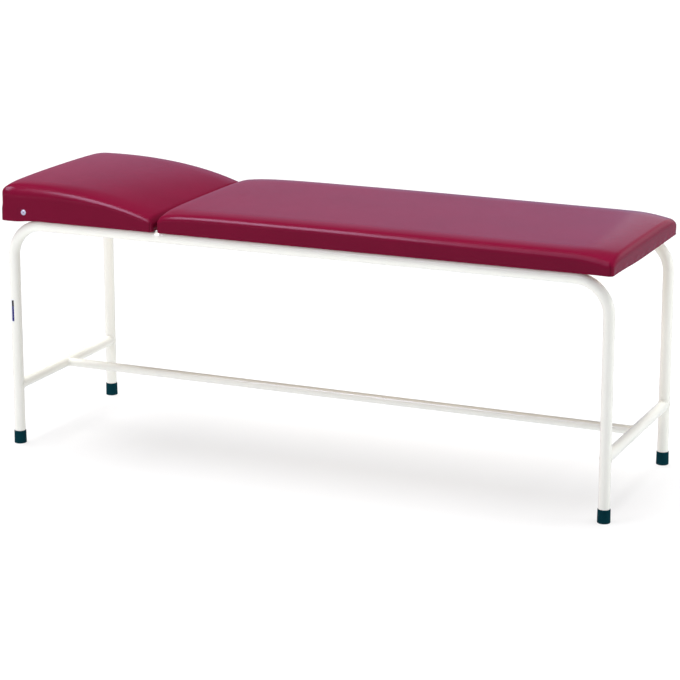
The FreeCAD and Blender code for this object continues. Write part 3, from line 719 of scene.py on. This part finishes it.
def make_pads(vinyl):
    make_pad(vinyl, "main_pad", "main_cover", "main_foam", "frame",
             main_height, main_edge, main_sag, True, (0, 3, 2, 4))
    make_pad(vinyl, "head_pad", "head_cover", "head_foam", "head_section",
             head_height, head_edge, head_sag, False, (6, 0, 2, 3))


# ---------------------------------------------------------------- welds


def bead_mesh(name, path, closed, ups, seed):
    """A weld bead: a small half-round rope along the path with the ripples of the weld pool."""
    path = np.array(path)
    count = len(path)
    ahead = np.roll(path, -1, axis=0) - path
    if not closed:
        ahead[-1] = ahead[-2]
    ahead /= np.linalg.norm(ahead, axis=1)[:, None]
    ups = np.array(ups)
    across = np.cross(ahead, ups)
    across /= np.linalg.norm(across, axis=1)[:, None]
    lift = np.cross(across, ahead)
    run = np.concatenate([[0.0], np.cumsum(np.linalg.norm(np.diff(path, axis=0), axis=1))])
    radius = 2.3 + 0.28 * np.sin(run / 0.00062) + 0.35 * np.sin(run / 0.0071 + seed)
    if not closed:
        radius = radius * np.sqrt(np.clip(np.minimum(run, run[-1] - run) / 0.003, 0.05, 1))
    sides = 8
    verts = []
    for k in range(sides):
        angle = 2 * math.pi * k / sides
        verts.append(path + (across * math.cos(angle) + lift * math.sin(angle)) * radius[:, None] * MM)
    verts = np.stack(verts, 1).reshape(-1, 3)
    faces = []
    for n in range(count if closed else count - 1):
        m = (n + 1) % count
        for k in range(sides):
            j = (k + 1) % sides
            faces.append((n * sides + k, m * sides + k, m * sides + j, n * sides + j))
    if not closed:
        faces.append(tuple(range(sides)))
        faces.append(tuple(range((count - 1) * sides, count * sides))[::-1])
    mesh = bpy.data.meshes.new(name)
    mesh.from_pydata(verts.tolist(), [], faces)
    return mesh


def saddle(centre, along, radius, other, count=150):
    """Where a round tube of that radius, running in direction `along` from `centre`, meets the round tube
    `other`: (its axis direction, its radius). Returns the ring of points and their outward directions."""
    along = Vector(along)
    axis = Vector(other[0])
    side = along.cross(axis)
    points = []
    ups = []
    for n in range(count):
        angle = 2 * math.pi * n / count
        off = math.sin(angle) * radius
        reach = math.sqrt(max(other[1] ** 2 - off**2, 0.0))
        out = (axis * math.cos(angle) + side * math.sin(angle)).normalized()
        points.append(Vector(centre) + along * reach + out * radius)
        ups.append(out)
    return points, ups


def join_meshes(name, meshes):
    """One mesh of all of them, which are used up."""
    shape = bmesh.new()
    for mesh in meshes:
        shape.from_mesh(mesh)
        bpy.data.meshes.remove(mesh)
    bmesh.ops.recalc_face_normals(shape, faces=shape.faces)
    made = bpy.data.meshes.new(name)
    shape.to_mesh(made)
    shape.free()
    return made


def stretcher_welds():
    """Beads round both ends of the two end stretchers and of the centre stretcher."""
    beads = []
    for end in ("head", "foot"):
        centre, half = middle(f"end_stretcher_{end}")
        for side, row in ((-1, "front"), (1, "rear")):
            leg = middle(f"ferrule_{end}_{row}")[0]
            points, ups = saddle((leg.x, leg.y, centre.z), (0, -side, 0), half.x, ((0, 0, 1), half.x))
            beads.append(bead_mesh("bead", points, True, ups, len(beads)))
        inward = 1 if end == "head" else -1
        thin = middle("centre_stretcher")[1].z
        points, ups = saddle((centre.x, 0.0, centre.z), (inward, 0, 0), thin, ((0, 1, 0), half.x))
        beads.append(bead_mesh("bead", points, True, ups, len(beads)))
    return beads


def rail_welds():
    """A bead down each side and along the bottom of every cross rail where it meets a side tube."""
    beads = []
    tube_r = middle("end_stretcher_head")[1].x
    for name in ("head", "hinge", "middle", "foot"):
        centre, half = middle(f"cross_rail_{name}")
        for side, row in ((-1, "front"), (1, "rear")):
            leg_y = middle(f"ferrule_head_{row}")[0].y
            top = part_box(f"side_frame_{row}")[1].z - tube_r
            outline = ([(-half.x, t) for t in np.linspace(half.z * 0.6, -half.z, 20)]
                       + [(t, -half.z) for t in np.linspace(-half.x, half.x, 24)[1:-1]]
                       + [(half.x, t) for t in np.linspace(-half.z, half.z * 0.6, 20)])
            points = []
            ups = []
            for dx, dz in outline:
                z = centre.z + dz
                reach = math.sqrt(max(tube_r**2 - (z - top) ** 2, 0.0))
                points.append(Vector((centre.x + dx, leg_y - side * reach, z)))
                ups.append(Vector((dx, 0, dz - 0.003)).normalized())
            beads.append(bead_mesh("bead", points, False, ups, len(beads)))
    return beads


def make_welds(enamel):
    mesh = join_meshes("frame_welds", stretcher_welds() + rail_welds())
    piece = link_piece("frame_welds", mesh, enamel)
    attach(piece, "frame")


# ---------------------------------------------------------------- CAD nodes


def paint(names, material):
    for name in names:
        mesh = nodes[name].data
        mesh.materials.clear()
        mesh.materials.append(material)


def paint_frame():
    """Gives every CAD node the material of its slot, and returns the enamel, which the welds share."""
    enamel = enamel_material()
    rubber = rubber_material()
    zinc = plated_material("zinc_plate", (0.52, 0.53, 0.54), 0.30, (0.64, 0.65, 0.66))
    bright = plated_material("bright_rod", (0.60, 0.60, 0.60), 0.18, (0.70, 0.70, 0.70))
    nickel = plated_material("nickel_plate", (0.90, 0.95, 0.95), 0.45, (0.97, 1.0, 1.0))
    ply = plywood_material()
    slots = {s["node"]: s["material_slot"] for s in frame["record"]["subparts"]}
    by_slot = {"cream_enamel": enamel, "teal_rubber": rubber, "zinc_steel": zinc, "bright_rod": bright,
               "nickel": nickel, "plywood": ply}
    for name, slot in slots.items():
        if slot in by_slot:
            paint([name], by_slot[slot])
    paint(["leg_label"], label_material(*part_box("leg_label")))
    return enamel


make_stage()
make_camera()
make_welds(paint_frame())
make_pads(vinyl_material())
